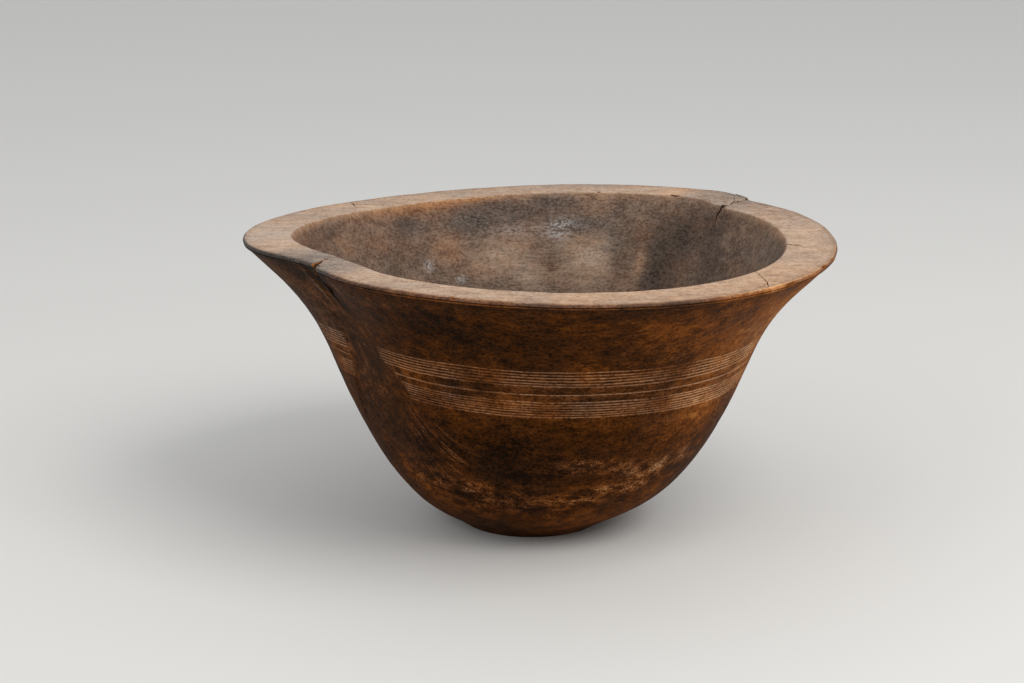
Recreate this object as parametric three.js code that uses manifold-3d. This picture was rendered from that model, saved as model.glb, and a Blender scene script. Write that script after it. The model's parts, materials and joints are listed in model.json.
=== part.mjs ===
// Carved wooden milk bowl, in millimetres, +Z up.
// One block of wood, hollowed to an open flared bowl with a thick flat rim. Age has pulled it out of round,
// its wall has sunk into a flute at the front left, and its rim has split there and at the rear right.
// The origin is on the resting plane, under the middle of the bowl.

import * as THREE from 'three';
import { mergeVertices } from 'three/addons/utils/BufferGeometryUtils.js';
import Module from 'manifold-3d';

const wasm = await Module();
wasm.setup();

// Overall sizes
const RIM_DIAMETER = 380;
const HEIGHT = 186;
const FOOT_DIAMETER = 91;

// Wall and rim
const RIM_WIDTH = 31;
const LIP_HEIGHT = 4;
const LIP_STEP = 2.2;
const EDGE_ROUND = 1.6;
const WALL = 13;
const FLOOR = 17;
const FLOOR_DIAMETER = 60;

// Outside curve: a round belly up to the waist, then a hollow flare up to the lip. Slopes are in degrees.
const WAIST_DIAMETER = 273.6;
const WAIST_HEIGHT = 114;
const FOOT_SLOPE = 36;
const WAIST_SLOPE = 68.3;
const LIP_SLOPE = 45.8;
const MOUTH_SLOPE = 62;

// How firmly each end of a curve holds its slope, as a share of the straight line between its ends
const BELLY_HOLD = [0.24, 0.73];
const FLARE_HOLD = [0.46, 0.28];
const MOUTH_HOLD = [0.4, 0.3];
const HOLLOW_HOLD = [0.7, 0.3];

// The wood has pulled the bowl out of round and out of level. Each wave has its number of crests, its size at
// the rim and the angle of a crest. Angles run anticlockwise from +X, in degrees.
const ROUNDNESS_WAVES = [[1, 2.8, 64], [2, 2.9, -45.5], [3, 3.4, 44], [4, 0.8, 31]];
const LEVEL_WAVES = [[1, 2.5, -95], [2, 2.4, 48.5], [3, 0.8, -51]];
const MOUTH_WAVES = [[1, 2.3, -137], [2, 1.1, 49]];
const ROUNDNESS_FADE = 0.56;

// The foot was cut a little to the left of the middle, and the belly takes this up within its lowest part
const FOOT_SHIFT = -6;
const FOOT_SHIFT_FADE = 6;

// Flute at the front left, where the wall has sunk inwards. It widens and fades towards the foot.
const FLUTE_OUTSIDE = { angle: 211, depth: 15.3, width: 14.2, spread: 13 };
const FLUTE_INSIDE = { angle: 207, depth: 13.3, width: 21.5, spread: 13 };

// Where the rim has split, its sides have slipped in height. Each slip has its height before and after its
// angle, its reach round the rim, and how much of it rolls off beside the crack and over how far. It dies
// away towards the foot, and the step between its sides reaches SLIP_STEP degrees either way.
const SLIPS = [
  { angle: 40.3, before: -1.4, after: 2.8, reach: 13, roll: 0.65, rollWidth: 2.6 },
  { angle: 215.4, before: 0.4, after: -1, reach: 6, roll: 0, rollWidth: 1 },
];
const SLIP_STEP = 0.9;
const SLIP_FADE = 6;

// Cracks open from their tips to beyond the rim's outer edge, along one heading. A place is an inset from
// that edge and an angle, for the tip on the rim and the tip at the crack's foot.
const FRONT_CRACK = {
  width: 1.8,
  depth: 38,
  heading: 255,
  length: 34,
  rim: { inset: 16, angle: 211.1 },
  foot: { inset: 28, angle: 215 },
};
const REAR_CRACK = {
  width: 1.2,
  depth: 20,
  heading: 50,
  length: 60,
  rim: { inset: RIM_WIDTH + 9, angle: 39 },
  foot: { inset: RIM_WIDTH - 3, angle: 39.5 },
};
const CRACK_TIP_WIDTH = 0.4;

// Splinter of rim between the rear crack and its branch. It stands a little proud of the rim's top and edge.
const SPLINTER = { inset: 16.5, angle: 40.5, left: 47, right: 41.3, depth: 9, proud: 0.5, outwards: 0.8 };
const CLEARANCE = 0.3;

// Chips knocked from the rim's edges: angle, inset of the middle and size
const CHIPS = [
  { angle: 342, inset: 0, size: [7, 2.4, 2.2] },
  { angle: 335.4, inset: 0.4, size: [9, 2, 2.4] },
  { angle: 253, inset: 0, size: [3, 2, 2] },
  { angle: 150.5, inset: 0, size: [10, 3, 2] },
  { angle: 74, inset: RIM_WIDTH, size: [3, 2, 2] },
  { angle: 54, inset: RIM_WIDTH, size: [9, 2.5, 2.5] },
];

// Steps round the bowl and along each curve
const TURN_STEPS = 108;
const BELLY_STEPS = 9;
const FLARE_STEPS = 7;
const MOUTH_STEPS = 5;
const HOLLOW_STEPS = 7;
const CUT_MARGIN = 10;

const RIM_RADIUS = RIM_DIAMETER / 2;
const radians = THREE.MathUtils.degToRad;
const turnBetween = (angle, from) => THREE.MathUtils.euclideanModulo(angle - from + 180, 360) - 180;
const bell = (offset, width) => Math.exp(-((offset / width) ** 2));
const wave = (waves, angle) => waves.reduce(
  (sum, [count, size, crest]) => sum + size * Math.cos(count * radians(angle - crest)), 0);

// A smooth curve that leaves its start at one slope and reaches its end at another
function curve(start, startSlope, end, endSlope, [startHold, endHold], steps) {
  const span = start.distanceTo(end);
  const along = (slope, length) => new THREE.Vector2(Math.cos(radians(slope)), Math.sin(radians(slope)))
    .multiplyScalar(length);
  return new THREE.CubicBezierCurve(
    start,
    start.clone().add(along(startSlope, startHold * span)),
    end.clone().sub(along(endSlope, endHold * span)),
    end,
  ).getPoints(steps);
}

// Section from the edge of the foot, up the outside to the rim, over it and down to the floor of the hollow
function section() {
  const foot = new THREE.Vector2(FOOT_DIAMETER / 2, 0);
  const waist = new THREE.Vector2(WAIST_DIAMETER / 2, WAIST_HEIGHT);
  const underLip = new THREE.Vector2(RIM_RADIUS - LIP_STEP, HEIGHT - LIP_HEIGHT);
  const mouth = new THREE.Vector2(RIM_RADIUS - RIM_WIDTH, HEIGHT - EDGE_ROUND);
  const hollow = new THREE.Vector2(WAIST_DIAMETER / 2 - WALL, WAIST_HEIGHT);
  const floor = new THREE.Vector2(FLOOR_DIAMETER / 2, FLOOR);
  return {
    outside: [
      ...curve(foot, FOOT_SLOPE, waist, WAIST_SLOPE, BELLY_HOLD, BELLY_STEPS),
      ...curve(waist, WAIST_SLOPE, underLip, LIP_SLOPE, FLARE_HOLD, FLARE_STEPS).slice(1),
      new THREE.Vector2(RIM_RADIUS, HEIGHT - LIP_HEIGHT + EDGE_ROUND / 2),
      new THREE.Vector2(RIM_RADIUS, HEIGHT - EDGE_ROUND),
      new THREE.Vector2(RIM_RADIUS - EDGE_ROUND, HEIGHT),
    ],
    inside: [
      new THREE.Vector2(RIM_RADIUS - RIM_WIDTH + EDGE_ROUND, HEIGHT),
      ...curve(mouth, MOUTH_SLOPE + 180, hollow, WAIST_SLOPE + 180, MOUTH_HOLD, MOUTH_STEPS),
      ...curve(hollow, WAIST_SLOPE + 180, floor, 180, HOLLOW_HOLD, HOLLOW_STEPS).slice(1),
    ],
  };
}

// How far the rim has slipped at an angle, with the raised side of a crack rolled off towards it
function slip(angle) {
  return SLIPS.reduce((sum, { angle: crack, before, after, reach, roll, rollWidth }) => {
    const turn = turnBetween(angle, crack);
    const rolled = 1 - roll * bell(turn, rollWidth);
    return sum + (turn > 0 ? after * rolled : before) * bell(turn, reach);
  }, 0);
}

// Where a point of the section lies at an angle, on wood that has warped, sunk and slipped
function warped(point, angle, flute, mouthShare) {
  const rise = point.y / HEIGHT;
  const sunk = flute.depth * rise
    * bell(turnBetween(angle, flute.angle), flute.width + flute.spread * (1 - rise));
  const pulled = wave(ROUNDNESS_WAVES, angle) * rise ** ROUNDNESS_FADE;
  const radius = point.x * (1 + (pulled - sunk) / RIM_RADIUS) + mouthShare * rise * wave(MOUTH_WAVES, angle);
  return new THREE.Vector3(
    radius * Math.cos(radians(angle)) + FOOT_SHIFT * (1 - rise) ** FOOT_SHIFT_FADE,
    radius * Math.sin(radians(angle)),
    point.y + rise * wave(LEVEL_WAVES, angle) + rise ** SLIP_FADE * slip(angle),
  );
}

// Angles round the bowl, with closer ones where the rim has slipped and rolls off
function turnAngles() {
  const even = Array.from({ length: TURN_STEPS }, (_, step) => (360 * step) / TURN_STEPS)
    .filter((angle) => SLIPS.every((crack) => Math.abs(turnBetween(angle, crack.angle)) > 1.5 * SLIP_STEP));
  const close = SLIPS.flatMap((crack) => [-1, 1, 2.2].map((steps) => crack.angle + steps * SLIP_STEP));
  return [...even, ...close].sort((a, b) => a - b);
}

// The whole bowl before it split, as rings of points joined from the foot's middle to the floor's middle
function wholeBowl() {
  const { outside, inside } = section();
  const angles = turnAngles();
  const rings = [
    ...outside.map((point) => angles.map((angle) => warped(point, angle, FLUTE_OUTSIDE, 0))),
    ...inside.map((point) => angles.map((angle) => warped(point, angle, FLUTE_INSIDE, 1))),
  ];
  const footMiddle = new THREE.Vector3(FOOT_SHIFT, 0, 0);
  const floorMiddle = warped(new THREE.Vector2(0, FLOOR), 0, FLUTE_INSIDE, 0);
  const points = [footMiddle, ...rings.flat(), floorMiddle];
  const last = points.length - 1;
  const faces = [];
  angles.forEach((_, step) => {
    const next = (step + 1) % angles.length;
    faces.push(0, 1 + next, 1 + step);
    for (let ring = 0; ring < rings.length - 1; ring += 1) {
      const low = 1 + ring * angles.length;
      const high = low + angles.length;
      faces.push(low + step, low + next, high + next, low + step, high + next, high + step);
    }
    const top = 1 + (rings.length - 1) * angles.length;
    faces.push(top + step, top + next, last);
  });
  const geometry = new THREE.BufferGeometry().setFromPoints(points);
  geometry.setIndex(faces);
  return geometry;
}

// A place on the rim's top, at an inset from its outer edge
function onRim({ inset, angle }) {
  const edge = warped(new THREE.Vector2(RIM_RADIUS, HEIGHT), angle, FLUTE_OUTSIDE, 0);
  const outwards = new THREE.Vector3(Math.cos(radians(angle)), Math.sin(radians(angle)), 0);
  return edge.addScaledVector(outwards, -inset);
}

// A thin wedge that opens a crack from its tip to beyond the rim's edge. Its flat sides lean with the wall.
function crackWedge({ width, depth, heading, length, rim, foot }) {
  const wedge = new THREE.BoxGeometry(1, 1, 1);
  const corners = wedge.attributes.position;
  const along = new THREE.Vector3(Math.cos(radians(heading)), Math.sin(radians(heading)), 0);
  const sideways = new THREE.Vector3(-along.y, along.x, 0);
  const topHeight = onRim(rim).z;
  for (let corner = 0; corner < corners.count; corner += 1) {
    const atTop = corners.getZ(corner) > 0;
    const atMouth = corners.getX(corner) > 0;
    const place = onRim(atTop ? rim : foot)
      .addScaledVector(along, atMouth ? length : 0)
      .addScaledVector(sideways, corners.getY(corner) * (atMouth ? width : CRACK_TIP_WIDTH));
    corners.setXYZ(corner, place.x, place.y, atTop ? topHeight + CUT_MARGIN : topHeight - depth);
  }
  return wedge;
}

// The block of space that the splinter takes, drawn in by a gap on its two cracked sides and its underside
function splinterBlock(gap) {
  const root = onRim(SPLINTER);
  const [left, right] = [SPLINTER.left, SPLINTER.right]
    .map((angle) => onRim({ inset: -CUT_MARGIN, angle }).sub(root).setZ(0));
  const spread = left.angleTo(right);
  const start = root.clone()
    .addScaledVector(left.clone().normalize(), gap / Math.sin(spread))
    .addScaledVector(right.clone().normalize(), gap / Math.sin(spread));
  const outline = [start, start.clone().add(right), start.clone().add(left)]
    .map(({ x, y }) => new THREE.Vector2(x, y));
  const block = new THREE.ExtrudeGeometry(new THREE.Shape(outline), {
    depth: SPLINTER.depth + CUT_MARGIN,
    bevelEnabled: false,
  });
  return block.translate(0, 0, root.z - SPLINTER.depth + gap);
}

// A scoop out of the rim's edge
function chipScoop({ angle, inset, size: [length, width, height] }) {
  const scoop = new THREE.IcosahedronGeometry(0.5, 1);
  scoop.scale(width, length, height).rotateZ(radians(angle));
  const { x, y, z } = onRim({ angle, inset });
  return scoop.translate(x, y, z);
}

function toSolid(geometry) {
  const bare = geometry.clone();
  bare.deleteAttribute('normal');
  bare.deleteAttribute('uv');
  const merged = mergeVertices(bare);
  return new wasm.Manifold(new wasm.Mesh({
    numProp: 3,
    vertProperties: merged.attributes.position.array,
    triVerts: new Uint32Array(merged.index.array),
  }));
}

function toGeometry(solid) {
  const { vertProperties, triVerts } = solid.getMesh();
  const geometry = new THREE.BufferGeometry();
  geometry.setAttribute('position', new THREE.BufferAttribute(vertProperties, 3));
  geometry.setIndex(new THREE.BufferAttribute(triVerts, 1));
  geometry.computeVertexNormals();
  return geometry;
}

// Bowl body: the whole bowl less its cracks, its chips and the splinter's notch
function bowlBody() {
  const cuts = [
    crackWedge(FRONT_CRACK),
    crackWedge(REAR_CRACK),
    splinterBlock(0),
    ...CHIPS.map(chipScoop),
  ];
  return cuts.reduce((body, cut) => body.subtract(toSolid(cut)), toSolid(wholeBowl()));
}

// Rear rim splinter: the wood that the notch left, lifted and pushed out until it stands proud
function rearRimSplinter() {
  const across = Math.cos(radians(SPLINTER.angle)) * SPLINTER.outwards;
  const back = Math.sin(radians(SPLINTER.angle)) * SPLINTER.outwards;
  const moved = wholeBowl().translate(across, back, SPLINTER.proud);
  return toSolid(moved).intersect(toSolid(splinterBlock(CLEARANCE)));
}

const darkWood = new THREE.MeshStandardMaterial({ color: 0x4a2e1e, roughness: 0.62, metalness: 0 });
const paleWood = new THREE.MeshStandardMaterial({ color: 0xa9835f, roughness: 0.7, metalness: 0 });

const pieces = [
  ['bowl_body', bowlBody(), darkWood],
  ['rear_rim_splinter', rearRimSplinter(), paleWood],
];

// The bowl stands with the middle of its outline over the origin
const group = new THREE.Group();
for (const [name, solid, material] of pieces) {
  const mesh = new THREE.Mesh(toGeometry(solid), material);
  mesh.name = name;
  group.add(mesh);
}
const middle = new THREE.Box3().setFromObject(group).getCenter(new THREE.Vector3());
group.children.forEach((mesh) => mesh.geometry.translate(-middle.x, -middle.y, 0));

export default group;
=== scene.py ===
# An old milk bowl carved from one block of dark hardwood. Its wall has a band of incised lines, its rim is worn
# pale, and it has split at the front left and at the rear right. Lengths are in metres.

import json
import random
from functools import partial
from math import cos, pi, radians, sin

import bmesh
import bpy
import numpy as np
from mathutils import Matrix, Vector

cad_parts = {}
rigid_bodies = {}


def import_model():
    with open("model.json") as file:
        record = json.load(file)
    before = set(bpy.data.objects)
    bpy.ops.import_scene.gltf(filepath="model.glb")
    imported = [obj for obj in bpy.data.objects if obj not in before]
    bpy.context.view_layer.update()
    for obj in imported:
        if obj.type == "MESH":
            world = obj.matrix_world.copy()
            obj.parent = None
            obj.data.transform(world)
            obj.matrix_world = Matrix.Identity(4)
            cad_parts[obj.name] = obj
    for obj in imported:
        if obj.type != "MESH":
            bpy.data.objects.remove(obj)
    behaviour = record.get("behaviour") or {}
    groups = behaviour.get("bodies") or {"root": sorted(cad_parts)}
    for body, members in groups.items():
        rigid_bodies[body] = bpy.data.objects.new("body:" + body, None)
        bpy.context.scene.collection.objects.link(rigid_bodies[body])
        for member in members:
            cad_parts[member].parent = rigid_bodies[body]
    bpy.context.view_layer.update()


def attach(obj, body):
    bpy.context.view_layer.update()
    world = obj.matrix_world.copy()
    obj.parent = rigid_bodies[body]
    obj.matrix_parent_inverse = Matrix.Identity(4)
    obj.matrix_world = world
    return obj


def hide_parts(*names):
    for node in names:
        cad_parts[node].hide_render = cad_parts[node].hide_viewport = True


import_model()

# Sizes of the bowl, as its frame has them
RIM_DIAMETER = 0.38
HEIGHT = 0.186
FOOT_DIAMETER = 0.091
RIM_WIDTH = 0.031
LIP_HEIGHT = 0.004
LIP_STEP = 0.0022
EDGE_ROUND = 0.0016
WALL = 0.013
FLOOR = 0.017
FLOOR_DIAMETER = 0.06
WAIST_DIAMETER = 0.2736
WAIST_HEIGHT = 0.114
RIM_RADIUS = RIM_DIAMETER / 2
# The bowl's axis, off the middle of the frame because the bowl has pulled out of round
AXIS = (0.001165, 0.000313)
# The finished bowl is drawn in by a hair, so that its unevenness stays inside the frame's box
FIT = 0.9994

# Slopes of the section's curves in degrees, and how firmly each end of a curve holds its slope
FOOT_SLOPE = 36
WAIST_SLOPE = 68.3
LIP_SLOPE = 45.8
MOUTH_SLOPE = 62
BELLY_HOLD = (0.24, 0.73)
FLARE_HOLD = (0.46, 0.28)
MOUTH_HOLD = (0.4, 0.3)
HOLLOW_HOLD = (0.7, 0.3)

# How the wood has pulled out of round and out of level: number of crests, size at the rim and angle of a crest
ROUNDNESS_WAVES = ((1, 0.0028, 64), (2, 0.0029, -45.5), (3, 0.0034, 44), (4, 0.0008, 31))
LEVEL_WAVES = ((1, 0.0025, -95), (2, 0.0024, 48.5), (3, 0.0008, -51))
MOUTH_WAVES = ((1, 0.0023, -137), (2, 0.0011, 49))
ROUNDNESS_FADE = 0.56
FOOT_SHIFT = -0.006
FOOT_SHIFT_FADE = 6

# Flute at the front left, outside and in the hollow: angle, depth, width and spread in degrees
FLUTE_OUTSIDE = (211, 0.0153, 14.2, 13)
FLUTE_INSIDE = (207, 0.0133, 21.5, 13)

# Where the rim has split, its sides have slipped in height: angle, height before and after it, reach in degrees,
# how much of it rolls off beside the crack and over how many degrees, and a point and heading of the crack's line
SLIPS = (
    (40.3, -0.0014, 0.0027, 13, 1.2, 6, (0.1195, 0.0967), 53),
    (215.4, 0.0004, -0.001, 6, 0, 1, (-0.13, -0.0792), 255),
)
SLIP_STEP = 0.001
SLIP_FADE = 6

# Splinter between the arms of the rear crack
SPLINTER_ANGLE = 40.5
SPLINTER_PROUD = 0.0004
SPLINTER_OUTWARDS = 0.0008
CLEARANCE = 0.0003
# Wood that lies deeper than this under the old skin has been torn open
TORN_DEPTH = 0.0002

# The blank's rows: steps up the wall and down the hollow, rows under the foot and between the groups of lines
WALL_STEP = 0.0026
HOLLOW_STEP = 0.0036
FOOT_ROWS = (0.012, 0.024, 0.036, 0.043)
GAP_ROWS = (0.1164, 0.1216)
# Rows up the lip: inset from the rim's edge, rise above the lip's underside and share of rim
LIP_ROWS = ((0.0012, 0.0004, 0), (0.0004, 0.0009, 0), (0.0003, 0.0013, 0.2), (0.0007, 0.0016, 0.3),
            (0.0001, 0.002, 0.6))

# Incised band: height of the lowest line, spacing and number of lines of each group
LINE_GROUPS = ((0.1036, 0.00168, 7), (0.1188, 0.002, 1), (0.1246, 0.00202, 6))
LINE_WIDTH = 0.0012
LINE_DEPTH = 0.00035
# Where a line's sloping sides start and end, as shares of its width
LINE_SIDES = (0.21, 0.49)
# How far lines stray from their level, how soon rows beyond the band stop doing so, and how the lower lines climb
# at the left and drop at the right: angle where that starts, degrees over which it grows, and amount
LINE_STRAY = 0.0006
STRAY_FADE = 0.02
CLIMB_LEFT = (262, 45, 0.0024)
DROP_RIGHT = (290, 40, 0.0014)

# Edges of the smooth channel that was pared through the band: height in mm and angle
CHANNEL_LEFT = ((60, 196), (88, 199), (110, 203), (120, 203.5), (138, 204.5), (160, 207), (182, 209))
CHANNEL_RIGHT = ((60, 216), (78, 222), (100, 230), (104, 231), (114, 228.5), (120, 226),
                 (126, 221.5), (135, 222), (160, 221), (182, 218))
# Where the channel starts and ends, how it fades there, and over how many degrees its edges round off
CHANNEL_ENDS = (0.062, 0.165)
CHANNEL_FADE = 0.02
CHANNEL_EDGE = 1.2

# Folds and swellings of the outer wall: angle, height, spread in degrees and in height, and how far they stand out
FOLDS = (
    (209, 0.173, 0.8, 0.012, 0.0011),  # raised edges beside the front crack
    (222, 0.178, 1.5, 0.007, 0.0009),
    (211.4, 0.17, 1.5, 0.014, -0.0012),
    (218.6, 0.172, 1.8, 0.012, -0.0009),
    (200, 0.013, 35, 0.009, 0.0025),  # fuller belly beside the foot
)
# Where the mouth's edge bends inwards: angle, spread in degrees, distance, and heights of its start and its growth
MOUTH_FOLD = (217.5, 9, 0.005, 0.1, 0.07)


# Noise: features per metre of the lines' pressure and of broad and fine carving, and how finely each breaks up
PRESSURE_SCALE = 34
BROAD_SCALE = 38
FINE_SCALE = 150
OCTAVES = 2

# Kinds of node that are used often
STORE = "GeometryNodeStoreNamedAttribute"
RANGE = "ShaderNodeMapRange"


def add_node(tree, kind, *values, named=None, **settings):
    """Adds a node with its settings. Values go to its sockets in order or by name, as numbers or links.

    A kind in capitals is the operation of a Math node.
    """
    if kind.isupper():
        kind, settings["operation"] = "ShaderNodeMath", kind
    node = tree.nodes.new(kind)
    for name, value in settings.items():
        setattr(node, name, value)
    sockets = [socket for socket in node.inputs if socket.enabled]
    wanted = list(zip(sockets, values)) + [(node.inputs[name], value) for name, value in (named or {}).items()]
    for socket, value in wanted:
        if isinstance(value, bpy.types.Node):
            value = next(output for output in value.outputs if output.enabled)
        if isinstance(value, bpy.types.NodeSocket):
            tree.links.new(value, socket)
        elif value is not None:
            socket.default_value = value
    return node


# Shape of the blank


def curve(start, start_slope, end, end_slope, hold, steps=240):
    """Points of a smooth curve that leaves its start at one slope and reaches its end at another."""
    start, end = np.array(start), np.array(end)
    span = np.linalg.norm(end - start)
    leave, reach = (np.array((cos(radians(s)), sin(radians(s)))) for s in (start_slope, end_slope))
    corners = (start, start + leave * hold[0] * span, end - reach * hold[1] * span, end)
    share = np.linspace(0, 1, steps)[:, None]
    weights = ((1 - share) ** 3, 3 * share * (1 - share) ** 2, 3 * share**2 * (1 - share), share**3)
    return sum(weight * corner for weight, corner in zip(weights, corners))


def evenly(points, step):
    """The same line with its points a step apart."""
    along = np.r_[0, np.cumsum(np.linalg.norm(np.diff(points, axis=0), axis=1))]
    stops = np.linspace(0, along[-1], max(2, round(along[-1] / step)) + 1)
    return np.stack([np.interp(stops, along, points[:, k]) for k in (0, 1)], 1)


def outer_wall():
    """The outside of the wall from the edge of the foot to the underside of the lip."""
    waist = (WAIST_DIAMETER / 2, WAIST_HEIGHT)
    lip = (RIM_RADIUS - LIP_STEP, HEIGHT - LIP_HEIGHT)
    belly = curve((FOOT_DIAMETER / 2, 0), FOOT_SLOPE, waist, WAIST_SLOPE, BELLY_HOLD)
    flare = curve(waist, WAIST_SLOPE, lip, LIP_SLOPE, FLARE_HOLD)
    return np.concatenate([belly, flare[1:]])


def hollow_wall():
    """The wall of the hollow from the rounded edge of the mouth to the middle of its floor."""
    mouth = (RIM_RADIUS - RIM_WIDTH, HEIGHT - EDGE_ROUND)
    hollow = (WAIST_DIAMETER / 2 - WALL, WAIST_HEIGHT)
    upper = curve(mouth, MOUTH_SLOPE + 180, hollow, WAIST_SLOPE + 180, MOUTH_HOLD)
    lower = curve(hollow, WAIST_SLOPE + 180, (FLOOR_DIAMETER / 2, FLOOR), 180, HOLLOW_HOLD)
    return np.concatenate([upper, lower[1:], [(0.004, FLOOR)]])


def line_heights():
    return np.array([first + spacing * n for first, spacing, count in LINE_GROUPS for n in range(count)])


def wall_levels(wall):
    """Heights of the rows on the outer wall: even steps, and four rows at each incised line."""
    even = evenly(wall, WALL_STEP)[:, 1]
    lines = line_heights()
    low, high = lines.min() - LINE_WIDTH, lines.max() + LINE_WIDTH
    across = np.array((-0.5, -0.2, 0.2, 0.5)) * LINE_WIDTH
    return np.sort(np.r_[even[(even < low) | (even > high)], (lines[:, None] + across).ravel(), GAP_ROWS])


def blank_rows():
    """Rows from the foot's middle over the rim to the floor's middle: reach, level, hollow share and rim share."""
    wall = outer_wall()
    levels = wall_levels(wall)
    reaches = np.interp(levels, wall[:, 1], wall[:, 0])
    rows = [(reach, 0, 0, 0) for reach in FOOT_ROWS]
    rows += [(reach, level, 0, 0) for reach, level in zip(reaches, levels)]
    rows += [(RIM_RADIUS - inset, HEIGHT - LIP_HEIGHT + rise, 0, share) for inset, rise, share in LIP_ROWS]
    rows += [(RIM_RADIUS - EDGE_ROUND * (1 - cos(turn)), HEIGHT - EDGE_ROUND * (1 - sin(turn)), 0, 1)
             for turn in np.radians((5, 30, 55, 75))]
    outer, inner = RIM_RADIUS - EDGE_ROUND, RIM_RADIUS - RIM_WIDTH + EDGE_ROUND
    rows += [(outer + (inner - outer) * share, HEIGHT, share, 1) for share in np.linspace(0, 1, 19)]
    rows += [(inner - EDGE_ROUND * sin(turn), HEIGHT - EDGE_ROUND * (1 - cos(turn)), 1, 1 - 2 * turn / pi)
             for turn in np.radians((25, 50, 75))]
    rows += [(reach, level, 1, 0) for reach, level in evenly(hollow_wall(), HOLLOW_STEP)[1:]]
    return np.array(rows)


def column_turns():
    """Angles of the columns in degrees, closer together at the cracks and along the channel."""
    spacing = ((0, 1.35), (37, 1.35), (38.5, 0.16), (46, 0.2), (47, 1.35), (198, 1.35), (203, 0.45), (209.5, 0.3),
               (211, 0.2), (218, 0.2), (220, 0.4), (231, 0.5), (234, 1.35), (360, 1.35))
    angles, steps = zip(*spacing)
    turns = [0]
    while turns[-1] < 360:
        turns.append(turns[-1] + np.interp(turns[-1], angles, steps))
    return np.array(turns[:-1]) * 360 / turns[-1]


def line_wander(levels, turns):
    """How far the wall's rows stray from their level, because the lines were cut by eye."""
    draw = random.Random(4)
    lines = line_heights()
    stray = np.zeros((len(lines), len(turns)))
    for waves in (3, 7, 13, 29):
        for row in stray:
            size = draw.uniform(-1, 1) * LINE_STRAY / waves**0.6
            row += size * np.cos(waves * np.radians(turns) + draw.uniform(0, 7))
    left = np.clip((CLIMB_LEFT[0] - turns) / CLIMB_LEFT[1], 0, 1) * (turns > 180)
    right = np.clip((turns - DROP_RIGHT[0]) / DROP_RIGHT[1], 0, 1)
    low_share = np.clip((lines.max() - lines) / (lines.max() - lines.min()), 0, 1)[:, None]
    stray += low_share * (CLIMB_LEFT[2] * left - DROP_RIGHT[2] * right)
    hold = np.clip(1 - np.abs(levels - np.clip(levels, lines.min(), lines.max())) / STRAY_FADE, 0, 1)[:, None]
    return hold * np.stack([np.interp(levels, lines, stray[:, k]) for k in range(len(turns))], 1)


def channel_share(turns, levels):
    """How far each point lies inside the pared channel, from none to wholly."""
    turn, level = np.meshgrid(turns, levels)
    left, right = (np.interp(level * 1000, *zip(*edge)) for edge in (CHANNEL_LEFT, CHANNEL_RIGHT))
    inside = np.minimum(turn - left, right - turn)
    low, high = CHANNEL_ENDS
    ends = np.clip((level - low) / CHANNEL_FADE, 0, 1) * np.clip((high - level) / CHANNEL_FADE, 0, 1)
    return np.clip(inside / CHANNEL_EDGE + 0.5, 0, 1) * ends


def turned_blank():
    """The bowl as if it were turned true, with what the rule that ages it needs to know at each point."""
    wall = outer_wall()
    rows = blank_rows()
    turns = column_turns()
    reach, level, hollow, rim = (np.repeat(rows[:, k : k + 1], len(turns), 1) for k in range(4))
    on_wall = (hollow == 0) & (rim == 0) & (level > 0)
    height = level + np.where(on_wall, line_wander(rows[:, 1], turns), 0)
    reach = np.where(on_wall & (level < HEIGHT - LIP_HEIGHT), np.interp(height, wall[:, 1], wall[:, 0]), reach)
    for angle, middle, wide, tall, out in FOLDS:
        across = ((turns - angle + 180) % 360 - 180) / wide
        reach = reach + on_wall * out * np.exp(-(across**2) - ((height - middle) / tall) ** 2)
    # the rim is wider inwards beside the front crack, and the hollow follows it down
    angle, spread, distance, start, growth = MOUTH_FOLD
    inwards = np.exp(-(((turns - angle) / spread) ** 2)) * np.clip((level - start) / growth, 0, 1)
    reach = reach - hollow * distance * inwards
    pared = channel_share(turns, rows[:, 1]) * on_wall
    turn = np.repeat(np.radians(turns)[None], len(rows), 0)
    values = dict(turn=turn, reach=reach, height=height, level=level, hollow=hollow, rim=rim, pared=pared)
    # the first point is the foot's middle and the last is the floor's
    floor_values = {"height": FLOOR, "level": FLOOR, "hollow": 1}
    points = {name: np.r_[0, value.ravel(), floor_values.get(name, 0)] for name, value in values.items()}
    count, last = len(turns), len(points["turn"]) - 1
    step = np.arange(count)
    following = (step + 1) % count
    quads = [np.stack([row + step, row + following, row + count + following, row + count + step], 1)
             for row in 1 + count * np.arange(len(rows) - 1)]
    top = last - count
    faces = [(0, 1 + b, 1 + a) for a, b in zip(step, following)]
    faces += np.concatenate(quads).tolist()
    faces += [(top + a, top + b, last) for a, b in zip(step, following)]
    mesh = bpy.data.meshes.new("turned_blank")
    across, back = (points["reach"] * wave(points["turn"]) for wave in (np.cos, np.sin))
    mesh.from_pydata(np.stack([across, back, points["height"]], 1).tolist(), [], faces)
    store(mesh, points)
    return mesh


# The rule that ages and incises the blank


def attribute(add, name):
    return add("GeometryNodeInputNamedAttribute", name, data_type="FLOAT")


def sum_of_waves(add, turn, waves):
    """Adds up waves that run round the bowl."""
    total = 0
    for count, size, crest in waves:
        phase = add("MULTIPLY_ADD", turn, count, -count * radians(crest))
        wave = add("COSINE", phase)
        total = add("MULTIPLY_ADD", wave, size, total)
    return total


def bell(add, turn, centre, width):
    """A hump that is one at an angle and fades away over a width."""
    offset = add("SUBTRACT", turn, radians(centre))
    offset = add("WRAP", offset, pi, -pi)
    share = add("DIVIDE", offset, width)
    square = add("MULTIPLY", share, share)
    fall = add("MULTIPLY", square, -1)
    return add("EXPONENT", fall)


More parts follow.
